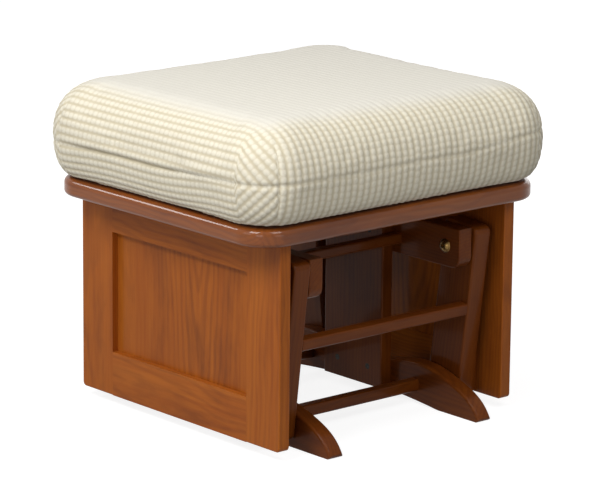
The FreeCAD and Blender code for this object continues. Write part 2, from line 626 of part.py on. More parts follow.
deck_screws = node(four("deck_screws", group("deck_screw_set", corner_screw, edge_screw)),
                   "deck_screws")
frame_ring = cut("frame_ring", frame_nose, opening, ledge_cut, deck_screws)

mitre = doc.addObject("Part::Wedge", "mitre_front")
for prop, text in (("Xmin", f"-{FRAME_X} - frame_rail"), ("Xmax", f"{FRAME_X} + frame_rail"),
                   ("Ymin", f"-{FRAME_Y} - frame_rail"), ("Ymax", f"-{OPEN_Y} + frame_rail / 2"),
                   ("X2min", f"-{OPEN_X} + frame_rail / 2"),
                   ("X2max", f"{OPEN_X} - frame_rail / 2"),
                   ("Zmin", SEAT_UP), ("Zmax", FRAME_TOP), ("Z2min", SEAT_UP),
                   ("Z2max", FRAME_TOP)):
    bind(mitre, prop, text)
pair(common("rail_front", frame_ring, mitre), "top_rail", "y", ("front", "rear"))
right_half = block("right_half", ("0", f"-{FRAME_Y}", SEAT_UP), (FRAME_X, FRAME_Y, FRAME_TOP))
rail_side = cut("rail_side", common("rail_side_blank", frame_ring, right_half),
                mitre, mirror("mitre_rear", mitre, "y"), right_frame_screws)
pair(rail_side, "top_rail", "x")

deck_blank = block("deck_blank", (f"-{deck_x}", f"-{deck_y}", f"{FRAME_TOP} - deck_thick"),
                   (deck_x, deck_y, FRAME_TOP))
node(cut("deck", deck_blank, deck_screws), "seat_deck")

# Cushion: crowned on top, drawn in along its sides, tucked in where it meets the frame


def cushion_section(half_x, half_y, corner, pull, z):
    """One level of the cushion: four bowed sides joined by round corners."""
    edges = []
    turn = corner * (1 - math.sqrt(0.5))
    for number in range(4):
        # the long and the short half widths take turns as the outline goes round
        out_x, out_y = (half_x, half_y) if number % 2 == 0 else (half_y, half_x)
        spin = FreeCAD.Rotation(FreeCAD.Vector(0, 0, 1), 90 * number)
        put = lambda x, y: spin.multVec(FreeCAD.Vector(x, y, 0)) + FreeCAD.Vector(0, 0, z)
        edges.append(Part.Arc(put(out_x, corner - out_y), put(out_x - pull, 0),
                              put(out_x, out_y - corner)).toShape())
        edges.append(Part.Arc(put(out_x, out_y - corner), put(out_x - turn, out_y - turn),
                              put(out_x - corner, out_y)).toShape())
    return Part.Wire(edges)


def cushion_levels():
    """How far in each level lies from the seam's outline, and its height over the base."""
    seam = size("cushion_seam")
    over = size("cushion_tall") - seam
    for angle in (90, 60, 30):
        share = math.radians(angle)
        yield size("cushion_tuck") * (1 - math.cos(share)), seam * (1 - math.sin(share))
    # over the seam the profile is a superellipse, fuller at the shoulder than a round one
    power = 2 / size("cushion_fullness")
    for angle in (0, 15, 30, 45, 60, 72, 82, 90):
        share = math.radians(angle)
        rise = seam + over * math.sin(share) ** power
        yield size("cushion_crown_in") * (1 - abs(math.cos(share)) ** power), rise


# A loft of this degree through these levels doesn't swell past them
LOFT_DEGREE = 3
# Shares by which the corners tighten, and the sides straighten, from the seam to the crown
CORNER_TIGHTENS = 0.68
SIDES_STRAIGHTEN = 0.5


def cushion_shape():
    """A loft through level sections, from the tucked base over the seam to the crown."""
    base = deck_blank.Placement.Base.z + size("deck_thick") + size("cushion_lift")
    half_x = frame_blank.Length.Value / 2 + size("cushion_past")
    half_y = frame_blank.Width.Value / 2 + size("cushion_past")
    sections = []
    for inward, rise in cushion_levels():
        share = inward / size("cushion_crown_in")
        sections.append(cushion_section(
            half_x - inward, half_y - inward, size("cushion_corner") * (1 - CORNER_TIGHTENS * share),
            size("cushion_pull") * (1 - SIDES_STRAIGHTEN * share), base + rise))
    return Part.makeLoft(sections, True, False, False, LOFT_DEGREE)


doc.recompute()
cushion = doc.addObject("Part::Feature", "cushion")
cushion.Shape = cushion_shape()
node(cushion, "seat_cushion")

doc.recompute()

# Nothing is written unless every object is sound
for obj in doc.Objects:
    if "Invalid" in obj.State or "Error" in obj.State:
        raise RuntimeError(f"{obj.Name} failed: {obj.State}")
for obj in NODES:
    if obj.Shape.isNull() or not obj.Shape.isValid() or not obj.Shape.Solids:
        raise RuntimeError(f"{obj.Label} has no sound shape")
labels = [obj.Label for obj in NODES]
if len(set(labels)) != len(labels):
    raise RuntimeError("two nodes have the same name")

os.makedirs("parts", exist_ok=True)
for obj in NODES:
    obj.Shape.exportStep(f"parts/{obj.Label}.step")
    box = obj.Shape.BoundBox
    print(f"{obj.Label:28s} {len(obj.Shape.Solids):2d} solids  "
          f"x {box.XMin:7.1f} {box.XMax:7.1f}  y {box.YMin:7.1f} {box.YMax:7.1f}  "
          f"z {box.ZMin:6.1f} {box.ZMax:6.1f}")
print(len(NODES), "nodes")
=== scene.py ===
# %% [markdown]
# # A glider ottoman
#
# The object is a padded foot rest. A fixed base of stained wood stands on the floor, four short
# arms hang from it, and the seat with its side panels hangs on those arms and glides.
# All the wood and metal pieces come ready from the frame at their real size and keep their
# shape. What is left for Blender is how they look, and the cushion, which is made here.

# %% Load the frame
import math

import bmesh
import bpy
import numpy as np
from mathutils import Matrix, Vector


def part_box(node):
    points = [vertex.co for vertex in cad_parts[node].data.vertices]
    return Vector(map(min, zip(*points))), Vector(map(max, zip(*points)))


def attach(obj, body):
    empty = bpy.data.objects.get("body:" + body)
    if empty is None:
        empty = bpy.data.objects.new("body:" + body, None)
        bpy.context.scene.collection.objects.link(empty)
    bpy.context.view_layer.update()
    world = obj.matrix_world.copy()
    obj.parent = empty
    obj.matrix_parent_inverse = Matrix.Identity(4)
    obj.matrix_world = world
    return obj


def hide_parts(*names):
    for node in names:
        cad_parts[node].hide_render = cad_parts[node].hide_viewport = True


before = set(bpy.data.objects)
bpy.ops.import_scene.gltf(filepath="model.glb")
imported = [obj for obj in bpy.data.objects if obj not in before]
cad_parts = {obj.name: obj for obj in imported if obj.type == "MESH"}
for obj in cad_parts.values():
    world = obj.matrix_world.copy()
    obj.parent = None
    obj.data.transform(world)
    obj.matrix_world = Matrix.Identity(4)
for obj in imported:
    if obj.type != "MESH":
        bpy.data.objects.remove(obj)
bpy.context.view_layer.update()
MM = 0.001
print("pieces in the frame:", len(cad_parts))

# %% [markdown]
# ## The view
#
# A camera is easiest to place by the direction from which it looks. Azimuth turns round the
# object from its front, elevation lifts the camera, and roll tips the horizon. The long lens,
# far away, keeps the perspective of the feet and the cushion as gentle as in a catalogue view.

# %% Camera
VIEW_AZIMUTH = -41.02
VIEW_ELEVATION = 13.86
VIEW_ROLL = 0.57
VIEW_POINT = (-2.968, -3.418, 1.323)
LENS = 213.6
FURTHEST_SEEN = 50


def view_turn(azimuth, elevation, roll):
    """The camera's turn for a direction round the object and a tipped horizon, in degrees."""
    turn = Matrix.Rotation(math.radians(azimuth), 4, "Z")
    turn @= Matrix.Rotation(math.radians(90 - elevation), 4, "X")
    return turn @ Matrix.Rotation(math.radians(roll), 4, "Z")


camera = bpy.data.objects.new("camera", bpy.data.cameras.new("camera"))
camera.data.lens = LENS
camera.data.clip_end = FURTHEST_SEEN
camera.matrix_world = view_turn(VIEW_AZIMUTH, VIEW_ELEVATION, VIEW_ROLL)
camera.location = VIEW_POINT
bpy.context.scene.collection.objects.link(camera)
bpy.context.scene.camera = camera
bpy.context.scene.view_settings.view_transform = "Standard"
print("camera's distance, m:", round(Vector(VIEW_POINT).length, 2))

# %% [markdown]
# ## Writing shaders as sums
#
# A node tree is a formula drawn as boxes. The class Wire wraps one output of a node, so that
# `1 - mask` or `height * 0.3` adds the Math nodes by itself. Web holds a node tree, and its
# method node adds any other kind of node: its settings first, then what feeds its sockets.
# Finish is the web of one material.

# %% Wires


class Wire:
    """An output of a node that takes part in arithmetic."""

    def __init__(self, web, socket):
        self.web = web
        self.socket = socket

    def math(self, operation, *values):
        return self.web.node("ShaderNodeMath", {"operation": operation}, dict(enumerate(values)))

    def __add__(self, other):
        return self.math("ADD", self, other)

    def __sub__(self, other):
        return self.math("SUBTRACT", self, other)

    def __rsub__(self, other):
        return self.math("SUBTRACT", other, self)

    def __mul__(self, other):
        return self.math("MULTIPLY", self, other)

    def __pow__(self, other):
        return self.math("POWER", self, other)

    def __abs__(self):
        return self.math("ABSOLUTE", self)

    __radd__ = __add__
    __rmul__ = __mul__

    def sine(self):
        return self.math("SINE", self)

    def larger(self, other):
        return self.math("MAXIMUM", self, other)

    def ramp(self, low, high, start=0.0, end=1.0):
        """Start below low, end above high, and smooth between them."""
        return self.web.node("ShaderNodeMapRange", {"interpolation_type": "SMOOTHSTEP"},
                             {"Value": self, "From Min": low, "From Max": high,
                              "To Min": start, "To Max": end})


# %% Webs and finishes


class Web:
    """A node tree whose nodes are added by formula."""

    def __init__(self, tree, shader, values):
        self.tree = tree
        self.shader = tree.nodes[shader]
        self.set(values)

    def set(self, values):
        """Set the shader's own sockets by name, each to a number, a colour or a wire."""
        for name, value in values.items():
            self.feed(self.shader.inputs[name], value)

    def feed(self, socket, value):
        if isinstance(value, Wire):
            self.tree.links.new(value.socket, socket)
        elif isinstance(value, tuple) and len(value) == 3 and socket.type == "RGBA":
            socket.default_value = (*value, 1)
        else:
            socket.default_value = value

    def node(self, kind, settings=None, inputs=None, output=0):
        made = self.tree.nodes.new(kind)
        for name, value in (settings or {}).items():
            setattr(made, name, value)
        for name, value in (inputs or {}).items():
            self.feed(made.inputs[name], value)
        return Wire(self, made.outputs[output])

    def place(self, turn=(0, 0, 0), scale=(1, 1, 1)):
        """A point of the piece, turned in degrees and scaled."""
        point = self.node("ShaderNodeTexCoord", output="Object")
        return self.node("ShaderNodeMapping", {"vector_type": "POINT"},
                         {"Vector": point, "Scale": scale,
                          "Rotation": tuple(math.radians(angle) for angle in turn)})

    def split(self, vector):
        """The three numbers of a vector."""
        first = self.node("ShaderNodeSeparateXYZ", {}, {0: vector})
        return [Wire(self, socket) for socket in first.socket.node.outputs]

    def stretch(self, point, scale, shift):
        """The same point, scaled along each axis and moved to another part of the noise."""
        return self.node("ShaderNodeMapping", {"vector_type": "POINT"},
                         {"Vector": point, "Scale": scale, "Location": shift})

    def noise(self, point, fine, detail, rough):
        """Noise from 0 to 1 with about so many patches a metre, and finer ones within them."""
        return self.node("ShaderNodeTexNoise", {},
                         {"Vector": point, "Scale": fine, "Detail": detail, "Roughness": rough})

    def blend(self, share, first, second, way="MIX"):
        """One colour over another by a share from 0 to 1."""
        return self.node("ShaderNodeMix", {"data_type": "RGBA", "blend_type": way},
                         {0: share, 6: first, 7: second}, output=2)

    def bump(self, height, depth, strength):
        """Light the surface as if it stood out by height times depth, in metres."""
        normal = self.node("ShaderNodeBump", {},
                           {"Height": height, "Distance": depth, "Strength": strength})
        self.set({"Normal": normal})


class Finish(Web):
    """A new material, from the values of its shader's sockets."""

    def __init__(self, name, values):
        self.material = bpy.data.materials.new(name)
        self.material.use_nodes = True
        super().__init__(self.material.node_tree, "Principled BSDF", values)


def tone(red, green, blue):
    """A colour as a screen shows it, 0 to 255, made linear for the shader."""
    return tuple((part / 255) ** 2.2 for part in (red, green, blue))


# %% [markdown]
# ## Floor, backdrop and lamps
#
# The floor is pale and plain, and so is what is behind it, so the outline of the wood reads
# clearly. The camera and reflections see a white world, and both it and the floor give little
# light of their own. Near the object the floor glows a little less, which leaves room for the
# object's soft shadow.

# %% Floor
FLOOR_HALF = 6
FLOOR_GREY = (0.32, 0.32, 0.32)
# how brightly the camera sees the floor glow at the object, and how far out it turns white
NEAR_GLOW = 0.86
WHITENS_FROM, WHITE_FROM = 0.5, 1.6

floor_mesh = bpy.data.meshes.new("floor")
bm = bmesh.new()
bmesh.ops.create_grid(bm, x_segments=1, y_segments=1, size=FLOOR_HALF)
bm.to_mesh(floor_mesh)
bm.free()
floor = bpy.data.objects.new("floor", floor_mesh)
bpy.context.scene.collection.objects.link(floor)


def seen_directly(web):
    """1 for a ray from the camera or off or through a shiny surface, and 0 for others."""
    from_camera, glossy, through = (
        web.node("ShaderNodeLightPath", output=name)
        for name in ("Is Camera Ray", "Is Glossy Ray", "Is Transmission Ray"))
    return from_camera.larger(glossy).larger(through)


pale_floor = Finish("pale_floor", {"Base Color": FLOOR_GREY, "Roughness": 0.9,
                                   "Specular IOR Level": 0.0, "Emission Color": (1, 1, 1)})
floor_x, floor_y, _ = pale_floor.split(pale_floor.place())
distance = (floor_x * floor_x + floor_y * floor_y) ** 0.5
glow = distance.ramp(WHITENS_FROM, WHITE_FROM, NEAR_GLOW, 1.0)
pale_floor.set({"Emission Strength": seen_directly(pale_floor) * glow})
floor_mesh.materials.append(pale_floor.material)
print("floor, m:", 2 * FLOOR_HALF, "x", 2 * FLOOR_HALF)

# %% World
AMBIENT = 0.05
world = bpy.data.worlds.new("world")
bpy.context.scene.world = world
world.use_nodes = True
backdrop = Web(world.node_tree, "Background", {"Color": (1, 1, 1)})
backdrop.set({"Strength": seen_directly(backdrop) * (1 - AMBIENT) + AMBIENT})
print("light from the world, as a share of what the camera sees:", AMBIENT)

# %% [markdown]
# The strongest soft box hangs high on the left, so the left panel is brighter than the front,
# and the inside stays dark. One high in front lights the cushion's front and the top frame. The
# one behind skims the top frame's left edge, the two low ones reach under the top frame into the
# open front, and the one on the right keeps that side from turning black.

# %% Lamps
AIM = Vector((0, 0, 0.25))
# name, place in metres, side in metres, watts
LAMPS = (
    ("left_high", (-1.7, -0.3, 1.9), 0.9, 32),
    ("left", (-2.2, 0.2, 1.0), 1.0, 6),
    ("front_top", (-0.2, -1.5, 1.9), 0.9, 17),
    ("top", (0.0, -0.2, 2.4), 1.2, 8),
    ("rear", (-1.25, 1.8, 1.5), 0.5, 10),
    ("right", (1.9, 0.7, 0.9), 1.2, 8),
    ("front_left_low", (-2.3, -1.5, 0.6), 1.0, 8),
    ("front_low", (-0.2, -2.2, 0.2), 1.0, 4),
)

for name, place, side, watts in LAMPS:
    light = bpy.data.lights.new(name, "AREA")
    light.size = side
    light.energy = watts
    lamp = bpy.data.objects.new(name, light)
    lamp.location = place
    lamp.rotation_euler = (AIM - Vector(place)).to_track_quat("-Z", "Y").to_euler()
    bpy.context.scene.collection.objects.link(lamp)
print("lamps:", len(LAMPS), "with", sum(watts for *_, watts in LAMPS), "watts in all")

# %% [markdown]
# ## Stained wood
#
# The wood is stained reddish brown under a half-gloss lacquer. A board is a slice of a tree, so
# its figure is drawn the same way here: rings round the tree's heart line. If that line runs far
# beside the board, the rings cross its faces as straight grain. On the thin field of the side
# panel it lies in the face and leans, so there the rings come out as pointed arches.
# Stain also takes unevenly, in soft streaks and clouds along the grain.

# %% Wood colours and rings
STAIN_DARK = (0.13, 0.030, 0.007)
STAIN_MID = (0.320, 0.078, 0.0085)
STAIN_LIGHT = (0.41, 0.116, 0.013)
# the turn, in degrees, that lays the grain's z along the board's axis
GRAIN_TURN = {"x": (0, 90, 0), "y": (90, 0, 0), "z": (0, 0, 0)}
# where the heart line runs beside most boards, in metres
FAR_HEART = (0.21, 0.13, 0.0)
# how each noise in the wood is drawn: its squeeze along the grain, how many patches it has a
# metre, and its detail and roughness
NOISES = {
    "streaks": (0.04, 240, 5, 0.62), "bands": (0.07, 40, 3, 0.5), "clouds": (0.3, 22, 4, 0.62),
    "pores": (0.035, 1000, 2, 0.5), "wander": (0.3, 16, 2, 0.5), "shiver": (0.12, 90, 2, 0.5),
}
# how far the rings stray from round, slowly and finely, in metres
RING_WANDER = 0.030
RING_SHIVER = 0.0016
# how far from the heart the rings start to pale, and where they are palest
RINGS_CLEAR, RINGS_FAINT = 0.02, 0.11


def rings(board, lie, grain, heart, lean, pitch, fade):
    """0 in the pale early wood to 1 on each ring's dark line, fainter away from the heart."""
    x, y, z = board.split(lie)
    deep = x - heart[0] + (z - heart[2]) * lean
    side = y - heart[1]
    radius = (deep * deep + side * side) ** 0.5
    uneven = radius + (grain("wander") - 0.5) * RING_WANDER
    uneven = uneven + (grain("shiver") - 0.5) * RING_SHIVER
    lines = (uneven * (2 * math.pi / pitch)).sine().ramp(-0.5, 1.0)
    return lines * radius.ramp(RINGS_CLEAR, RINGS_FAINT, 1.0, fade)


# %% Wood finish
PLAIN_GLOSS = 0.08
# how much of the paler stain the fine streaks and the wide bands bring out
STREAK_SHARE, BAND_SHARE = 0.45, 0.55
# how much clouds and pores darken the stain
CLOUD_SHARE = 0.36
PORE_SHARE = 0.18
PORE_DEPTH = 0.0001


def stained_wood(name, along, seed, tip=0.0, heart=FAR_HEART, lean=0.02, pitch=0.0052,
                 figure=0.20, fade=1.0, depth=1.0, gloss=PLAIN_GLOSS):
    """One board's finish, its grain along an axis, tipped by some degrees about x."""
    board = Finish(name, {"Coat Weight": gloss, "Coat Roughness": 0.07, "Roughness": 0.42,
                          "Specular IOR Level": 0.08})
    turn = GRAIN_TURN[along]
    lie = board.place(turn=(turn[0] + tip, turn[1], turn[2]))
    # each board is cut from another part of the tree
    shift = (seed * 1.7, seed * 2.3, seed)

    def grain(kind):
        """Noise that is drawn out along the grain, more so the smaller its squeeze."""
        squeeze, fine, detail, rough = NOISES[kind]
        return board.noise(board.stretch(lie, (1, 1, squeeze), shift), fine, detail, rough)

    streaks = grain("streaks")
    clouds = grain("clouds").ramp(0.47, 0.70)
    pores = grain("pores").ramp(0.58, 0.74)
    late = rings(board, lie, grain, heart, lean, pitch, fade)
    pale = streaks.ramp(0.32, 0.68) * STREAK_SHARE + grain("bands").ramp(0.3, 0.7) * BAND_SHARE
    colour = board.blend(pale, STAIN_MID, STAIN_LIGHT)
    dark = late * figure + clouds * CLOUD_SHARE + pores * PORE_SHARE
    colour = board.blend(dark, colour, STAIN_DARK)
    # a deeper stain is also redder, and so is the painted shade that the base and arms carry in
    # their depth
    tint = (depth, depth ** 1.12, depth ** 1.2)
    colour = board.blend(1.0, colour, tint, "MULTIPLY")
    board.set({"Base Color": colour})
    board.bump(streaks * 0.5 - pores * 0.6 - late * 0.2, PORE_DEPTH, 0.35)
    return board.material


def dress(node, material):
    """Give a ready piece one material all over."""
    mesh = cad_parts[node].data
    mesh.materials.clear()
    mesh.materials.append(material)


# %% [markdown]
# Each board gets a finish of its own, with the grain along its length, so that no two boards
# show the same figure. The base and the arms are stained deepest and darkened further with
# painted shade, for the shade under the seat; the top frame is stained less deep and the panels
# least, and the top frame has the most gloss.

# %% Wood on each board
# kind of board, and the axis along which its grain runs
BOARDS = {
    "foot": "y", "beam": "y", "upright": "z", "lower_stretcher": "x", "cross_bar": "x",
    "front_swing_arm": "z", "rear_swing_arm": "z", "front_swing_stretcher": "x",
    "rear_swing_stretcher": "x", "panel_front_stile": "z", "panel_rear_stile": "z",
    "panel_lower_rail": "y", "panel_upper_rail": "y", "panel_field": "z", "cleat": "y",
    "pivot_blocks": "z", "top_rail_front": "x", "top_rail_rear": "x", "top_rail_left": "y",
    "top_rail_right": "y",
}
# what may follow the kind in a node's name
SIDES = ("", "_left", "_right", "_front", "_rear")
# the kinds that make up the base and the arms, or sit inside the seat
INNER = ("foot", "beam", "upright", "lower_stretcher", "cross_bar", "front_swing", "rear_swing",
         "cleat", "pivot_blocks")
# boards don't all take the stain alike, so their tones take turns
TONES = (1.0, 0.93, 1.05, 0.97, 1.02)
# the base and arms are darkened further, as painted shade for the shade under the seat
INNER_STAIN_AND_SHADE_TONE = 0.40
TOP_TONE = 0.58
TOP_GLOSS = 0.5
ARM_LEAN = 7.2
SEED_STEP = 0.37
# the field's arches: where the heart crosses its face, in y and z, and how they are drawn
ARCH_HEART = (-0.03, 0.25)
ARCHES = {"lean": 0.14, "pitch": 0.0092, "figure": 0.30, "fade": 0.12}


def board_kind(node):
    """The kind of board that a node's name starts with, or None for other pieces."""
    return next((kind for kind in BOARDS if node.startswith(kind)
                 and node.removeprefix(kind) in SIDES), None)


def board_options(node, kind, number):
    """What one board's finish needs beyond its name and the axis of its grain."""
    options = {"seed": SEED_STEP * number, "depth": TONES[number % len(TONES)]}
    # painted shade: the boards of the base and arms get the darker tone
    if kind.startswith(INNER):
        options["depth"] *= INNER_STAIN_AND_SHADE_TONE
    if kind.startswith("top_rail"):
        options["depth"] *= TOP_TONE
        options["gloss"] = TOP_GLOSS
    if "swing_arm" in node:
        options["tip"] = -ARM_LEAN if node.startswith("front") else ARM_LEAN
    if kind == "panel_field":
        nearest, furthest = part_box(node)
        face = nearest.x if node.endswith("left") else furthest.x
        options.update(heart=(face, *ARCH_HEART), **ARCHES)
    return options


boards = [node for node in sorted(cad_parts) if board_kind(node)]
for number, node in enumerate(boards):
    kind = board_kind(node)
    options = board_options(node, kind, number)
    dress(node, stained_wood(f"wood_{node}", BOARDS[kind], **options))
print("boards:", len(boards))

# %% [markdown]
# ## Metal, nylon and plain wood
#
# The domed bolt heads are brass plated and aged, with darker patches. The washers and nuts are
# zinc plated, with the faint mottle that zinc has, and the uprights' screws are blackened. The
# bushings are unpolished nylon, and the dowels and the plywood deck are bare wood.

# %% Hardware finishes
PLATE_DEPTH = 0.00005
FIBRE_DEPTH = 0.0001


def metal(name, bright, dull, rough, patch):
    """Plated metal with soft patches, so many a metre, where the plating has dulled."""
    plate = Finish(name, {"Metallic": 1.0})
    cloud = plate.noise(plate.place(), patch, 4, 0.6)
    fine = plate.noise(plate.place(), patch * 9, 2, 0.5)
    plate.set({"Base Color": plate.blend(cloud.ramp(0.35, 0.7), bright, dull),
               "Roughness": rough + cloud * 0.18})
    plate.bump(fine, PLATE_DEPTH, 0.4)
    return plate.material


def bare(name, light, dark, rough):
    """Plain material with a slight streak from side to side."""
    plain = Finish(name, {})
    streak = plain.noise(plain.place(scale=(0.05, 1, 1)), 240, 4, 0.6)
    plain.set({"Base Color": plain.blend(streak.ramp(0.3, 0.7), light, dark),
               "Roughness": rough + streak * 0.1})
    plain.bump(streak, FIBRE_DEPTH, 0.4)
    return plain.material


aged_brass = metal("aged_brass", tone(120, 96, 60), tone(68, 50, 30), 0.2, 260)
zinc = metal("zinc", tone(176, 176, 172), tone(120, 120, 118), 0.34, 320)
blackened = metal("blackened_steel", tone(60, 56, 52), tone(34, 31, 29), 0.42, 300)
nylon = bare("nylon", tone(226, 220, 204), tone(212, 205, 188), 0.45)
dowel_wood = bare("dowel_wood", tone(206, 172, 128), tone(178, 140, 96), 0.6)
plywood = bare("plywood", tone(204, 172, 130), tone(176, 140, 98), 0.65)
print("materials so far:", len(bpy.data.materials))

# %% Hardware by name
# the first ending that fits a node's name gives its finish
ENDINGS = {
    "upper_pivot_bolts": aged_brass,
    "upright_screws": blackened,
    ("bolts", "nuts", "washers", "screws"): zinc,
    "bushings": nylon,
    "dowels": dowel_wood,
    "seat_deck": plywood,
}
hardware = 0
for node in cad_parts:
    material = next((kept for ending, kept in ENDINGS.items() if node.endswith(ending)), None)
    if material:
        dress(node, material)
        hardware += 1
print("hardware and plain pieces:", hardware)

# %% [markdown]
# ## The cushion's body
#
# A block of foam in a sewn cover: crowned on top, full at the shoulders, drawn in along its
# sides. It starts as a slightly smaller copy of the plain solid, remeshed into even squares.
# Cloth with a little air pressure then swells it against its own cover, as stuffing does, and
# no point may move further than a few millimetres.

# %% Cushion body
VOXEL = 0.0048
SLACK = 0.001
WELD = 1e-5

low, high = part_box("seat_cushion")
cushion_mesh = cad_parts["seat_cushion"].data.copy()
cushion = bpy.data.objects.new("chenille_cushion", cushion_mesh)
bpy.context.scene.collection.objects.link(cushion)


def apply_modifier(piece, kind, name, **settings):
    """Add a modifier to one piece and make its result the piece's own mesh."""
    made = piece.modifiers.new(name, kind)
    for key, value in settings.items():
        setattr(made, key, value)
    bpy.ops.object.select_all(action="DESELECT")
    piece.select_set(True)
    bpy.context.view_layer.objects.active = piece
    bpy.ops.object.modifier_apply(modifier=name)


centre = (low + high) / 2
shrink = Vector([1 - 2 * SLACK / side for side in high - low])
bm = bmesh.new()
bm.from_mesh(cushion_mesh)
bmesh.ops.remove_doubles(bm, verts=bm.verts, dist=WELD)
for vert in bm.verts:
    vert.co = centre + (vert.co - centre) * shrink
bmesh.ops.recalc_face_normals(bm, faces=bm.faces)
bm.to_mesh(cushion_mesh)
bm.free()
apply_modifier(cushion, "REMESH", "even_squares", mode="VOXEL", voxel_size=VOXEL,
               use_smooth_shade=True)
print("cushion squares:", len(cushion.data.polygons))

# %% Stuffing
PRESSURE = 4
CLOTH_FRAMES = 20
SWELL_CAP = 0.0025
TINY = 1e-9


def rows_of(mesh, name):
    """What each vertex keeps under a name, such as co or normal, as rows of x, y, z."""
    flat = np.empty(len(mesh.vertices) * 3)
    mesh.vertices.foreach_get(name, flat)
    return flat.reshape(-1, 3)


def set_points(piece, points):
    piece.data.vertices.foreach_set("co", points.ravel())
    piece.data.update()


def swell(piece):
    """Blow the piece up as cloth, and let no point move further than the cap."""
    scene = bpy.context.scene
    before = rows_of(piece.data, "co")
    cloth = piece.modifiers.new("stuffing", "CLOTH")
    cloth.settings.use_pressure = True
    cloth.settings.uniform_pressure_force = PRESSURE
    cloth.settings.effector_weights.gravity = 0
    cloth.point_cache.frame_end = CLOTH_FRAMES
    for step in range(1, CLOTH_FRAMES + 1):
        scene.frame_set(step)
    shape = piece.evaluated_get(bpy.context.evaluated_depsgraph_get()).to_mesh()
    move = rows_of(shape, "co") - before
    piece.modifiers.remove(cloth)
    scene.frame_set(1)
    length = np.linalg.norm(move, axis=1, keepdims=True)
    set_points(piece, before + move * np.minimum(1, SWELL_CAP / np.maximum(length, TINY)))
    print("largest swell before the cap, mm:", round(float(length.max()) / MM, 1))


swell(cushion)

# %% Underside
# faces this close to the cushion's lowest level lie flat, and a rim of them is kept
FLAT = 0.0012
KEPT_RIM = 0.045


def plain_underside(piece):
    """One face in place of the many that lie flat on the deck, but for a rim at the edge."""
    bm = bmesh.new()
    bm.from_mesh(piece.data)
    for vert in bm.verts:
        vert.co.z = max(vert.co.z, low.z)
    reach = Vector((high.x - KEPT_RIM, high.y - KEPT_RIM))
    flat = [face for face in bm.faces
            if all(vert.co.z < low.z + FLAT and abs(vert.co.x) < reach.x
                   and abs(vert.co.y) < reach.y for vert in face.verts)]
    bmesh.ops.delete(bm, geom=flat, context="FACES")
    open_edges = [edge for edge in bm.edges if edge.is_boundary]
    bmesh.ops.holes_fill(bm, edges=open_edges, sides=0)
    bmesh.ops.recalc_face_normals(bm, faces=bm.faces)
    bm.to_mesh(piece.data)
    bm.free()
    print("underside faces taken out:", len(flat), "round a hole of", len(open_edges), "edges")


apply_modifier(cushion, "SUBSURF", "rounder", levels=1, render_levels=1)
plain_underside(cushion)

# %% [markdown]
# ## Where the cover's ribs run
#
# The cover is one cloth with soft ribs, and its ribs run from front to back. It wraps over the
# front edge, so they turn down the front; along the sides they lie level. At each corner a
# wedge between two darts carries them down aslant. A seam goes round at half height, and the
# lower half of the cover mirrors the upper one. To draw that, each point gets the place it had
# on the flat cloth: how far across the ribs, and how far along them.

# %% The cushion's side
# the plain solid's own measures
CORNER = 0.062
FULLNESS = 2.5
CROWN_IN = 0.075
TUCK = 0.022
SEAM_Z = low.z + 0.050
PROFILE_POINTS = 61


def side_profile():
    """The cushion's side as points out from the core and up, with the length walked so far."""
    rise = high.z - SEAM_Z
    drop = SEAM_Z - low.z
    out, up = [], []
    for angle in np.radians(np.linspace(90, -90, PROFILE_POINTS)):
        if angle >= 0:
            out.append(CORNER - CROWN_IN * (1 - math.cos(angle) ** (2 / FULLNESS)))
            up.append(SEAM_Z + rise * math.sin(angle) ** (2 / FULLNESS))
        else:
            out.append(CORNER - TUCK * (1 - math.cos(angle)))
            up.append(SEAM_Z - drop * math.sin(-angle))
    line = np.array([out, up]).T
    steps = np.linalg.norm(np.diff(line, axis=0), axis=1)
    walked = np.concatenate([[0], np.cumsum(steps)])
    return line, walked - np.interp(0, line[:, 0], walked)


profile, profile_walk = side_profile()
print("cover from the crown to the base, m:", round(float(profile_walk[-1]), 3))


def walk_down(out, up):
    """How far down the side each point lies, from the nearest stretch of the profile."""
    best = np.full(len(out), np.inf)
    walk = np.zeros(len(out))
    for first, second, begin in zip(profile[:-1], profile[1:], profile_walk[:-1]):
        run = second - first
        long = np.linalg.norm(run)
        along = np.clip(((out - first[0]) * run[0] + (up - first[1]) * run[1]) / long, 0, long)
        off = np.hypot(out - first[0] - run[0] * along / long,
                       up - first[1] - run[1] * along / long)
        closer = off < best
        best[closer] = off[closer]
        walk[closer] = begin + along[closer]
    return walk


def smooth(value, low_edge, high_edge):
    """0 below one edge, 1 above the other, and smooth between them."""
    share = np.clip((value - low_edge) / (high_edge - low_edge), 0, 1)
    return share * share * (3 - 2 * share)


# %% Places on the flat cloth
# a corner's wedge lies between two darts, at these turns from the side
WEDGE = (math.radians(10), math.radians(65))
WEDGE_LEAN = math.radians(46)
# the stretch of the walk over which the cover turns from lying loose to lying as sewn
SEWN_FROM, SEWN_BY = 0.018, 0.042
# the seam's level at the left front, how it climbs to the right and sinks to the rear, and how
# far it wanders, in metres
SEAM_LEVEL = low.z + 0.057
SEAM_CLIMB = 0.010
SEAM_SINK = 0.007
SEAM_WANDER = 0.0012
INSIDE = 1e-6


